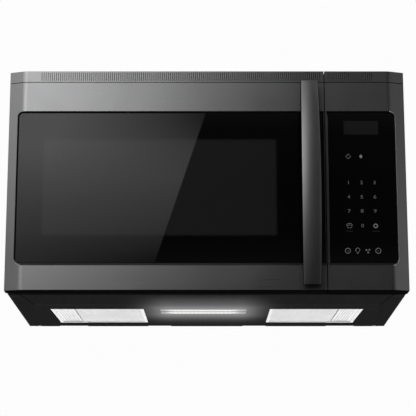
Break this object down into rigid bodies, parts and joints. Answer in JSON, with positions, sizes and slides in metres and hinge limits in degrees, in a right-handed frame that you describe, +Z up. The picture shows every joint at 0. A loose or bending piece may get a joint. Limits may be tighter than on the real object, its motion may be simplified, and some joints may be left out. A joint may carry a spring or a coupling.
{
  "type": "over the range microwave",
  "caption": "Wall-hung over the range microwave oven with a side-hinged glass door, bow handle, touch panel, lamp and two grease filters under it.",
  "frame": {"origin": "middle of the rear bottom edge, on the wall plane, where the wall plate's hooks carry the oven", "axes": "+X to the right seen from the front, -Y out of the door, +Z up"},
  "size_m": [0.76, 0.471, 0.4678],
  "materials": {
    "black_stainless": "dark brushed, clear coated",
    "black_glass": "opaque black backed, polished",
    "case_paint": "satin black",
    "galvanised": "plain sheet",
    "cavity_paint": "semi gloss light grey",
    "screen_steel": "black, perforated",
    "zinc_screw": "zinc plated",
    "black_plastic": "moulded black",
    "white_plastic": "moulded white",
    "filter_aluminium": "expanded mesh",
    "carbon": "porous black",
    "lens_plastic": "frosted",
    "lamp_steel": "white",
    "board": "circuit board",
    "tray_glass": "clear",
    "mica": "mica sheet",
    "motor_steel": "plain",
    "core_steel": "laminated, varnished",
    "blower_plastic": "moulded"
  },
  "bodies": {
    "case": {"outer_case": "case_paint", "rear_panel": "case_paint", "front_plate": "galvanised", "base_pan": "case_paint", "case_screws": "zinc_screw", "component_shelf": "galvanised", "duct_floor": "galvanised", "charcoal_filter": "carbon", "exhaust_adapter": "galvanised", "cord_gland": "black_plastic", "lamp_lens": "lens_plastic", "lamp_housing": "lamp_steel", "led_board": "board", "oven_cavity": "cavity_paint", "waveguide_cover": "mica", "waveguide": "galvanised", "magnetron": "motor_steel", "hv_transformer": "core_steel", "hv_capacitor": "motor_steel", "thermal_cutouts": "motor_steel", "cavity_lamp": "motor_steel", "turntable_motor": "motor_steel", "blower_housing": "black_plastic", "blower_motor": "motor_steel", "cooling_fan_shroud": "galvanised", "cooling_fan_motor": "motor_steel", "control_frame": "black_stainless", "panel_vent_trim": "black_stainless", "control_glass": "black_glass", "control_board": "board", "hinge_brackets": "galvanised", "interlock_bracket": "black_plastic", "interlock_switches": "black_plastic"},
    "door": {"door_frame": "black_stainless", "door_vent_trim": "black_stainless", "door_glass": "black_glass", "window_screen": "screen_steel", "inner_window": "tray_glass", "choke_panel": "cavity_paint", "choke_cover": "black_plastic", "door_back_cover": "black_plastic", "door_hinge_blocks": "black_plastic", "handle_bar": "black_stainless", "handle_posts": "black_stainless", "handle_screws": "zinc_screw"},
    "latch": {"door_latch": "black_plastic"},
    "plunger_lower": {"switch_plunger_lower": "white_plastic"},
    "plunger_upper": {"switch_plunger_upper": "white_plastic"},
    "turntable": {"glass_turntable": "tray_glass", "drive_coupler": "white_plastic"},
    "ring": {"roller_ring": "white_plastic"},
    "roller_a": {"roller_1": "white_plastic"},
    "roller_b": {"roller_2": "white_plastic"},
    "roller_c": {"roller_3": "white_plastic"},
    "blower_rotor": {"blower_shaft": "galvanised", "blower_wheels": "blower_plastic"},
    "fan_rotor": {"cooling_fan_blade": "white_plastic"},
    "damper": {"damper_flap": "galvanised"},
    "filter_left": {"grease_filter_left": "filter_aluminium"},
    "filter_right": {"grease_filter_right": "filter_aluminium"}
  },
  "joints": [
    {"name": "door_swing", "type": "hinge", "parent": "case", "child": "door", "pos_m": [-0.364, -0.399, 0.2028], "axis": [0, 0, -1], "range_deg": [0, 105]},
    {"name": "latch_slide", "type": "slide", "parent": "door", "child": "latch", "axis": [0, 0, 1], "range_m": [0, 0.003], "stiffness_N_per_m": 600, "springref_m": -0.002},
    {"name": "plunger_lower_press", "type": "slide", "parent": "case", "child": "plunger_lower", "axis": [0, 1, 0], "range_m": [0, 0.0015], "stiffness_N_per_m": 200, "springref_m": -0.001},
    {"name": "plunger_upper_press", "type": "slide", "parent": "case", "child": "plunger_upper", "axis": [0, 1, 0], "range_m": [0, 0.0015], "stiffness_N_per_m": 200, "springref_m": -0.001},
    {"name": "turntable_spin", "type": "hinge", "parent": "case", "child": "turntable", "pos_m": [-0.0895, -0.2008, 0.085], "axis": [0, 0, 1], "continuous": true},
    {"name": "ring_spin", "type": "hinge", "parent": "case", "child": "ring", "pos_m": [-0.0895, -0.2008, 0.085], "axis": [0, 0, 1], "continuous": true},
    {"name": "roller_a_spin", "type": "hinge", "parent": "ring", "child": "roller_a", "pos_m": [0.0459, -0.2008, 0.0924], "axis": [1, 0, 0], "continuous": true},
    {"name": "roller_b_spin", "type": "hinge", "parent": "ring", "child": "roller_b", "pos_m": [-0.1572, -0.08354, 0.0924], "axis": [-0.5, 0.866, 0], "continuous": true},
    {"name": "roller_c_spin", "type": "hinge", "parent": "ring", "child": "roller_c", "pos_m": [-0.1572, -0.31806, 0.0924], "axis": [-0.5, -0.866, 0], "continuous": true},
    {"name": "blower_spin", "type": "hinge", "parent": "case", "child": "blower_rotor", "pos_m": [0, -0.084, 0.375], "axis": [1, 0, 0], "continuous": true},
    {"name": "fan_spin", "type": "hinge", "parent": "case", "child": "fan_rotor", "pos_m": [0.3, -0.044, 0.21], "axis": [0, 1, 0], "continuous": true},
    {"name": "damper_tilt", "type": "hinge", "parent": "case", "child": "damper", "pos_m": [0, -0.0322, 0.436], "axis": [-1, 0, 0], "range_deg": [0, 75]},
    {"name": "filter_left_pull", "type": "slide", "parent": "case", "child": "filter_left", "axis": [0, 0.0501, -0.9987], "range_m": [0, 0.06]},
    {"name": "filter_right_pull", "type": "slide", "parent": "case", "child": "filter_right", "axis": [0, 0.0501, -0.9987], "range_m": [0, 0.06]}
  ],
  "couplings": [
    {"joint": "ring_spin", "follows": "turntable_spin", "ratio": 0.5},
    {"joint": "roller_a_spin", "follows": "turntable_spin", "ratio": -9.6714},
    {"joint": "roller_b_spin", "follows": "turntable_spin", "ratio": -9.6714},
    {"joint": "roller_c_spin", "follows": "turntable_spin", "ratio": -9.6714}
  ]
}
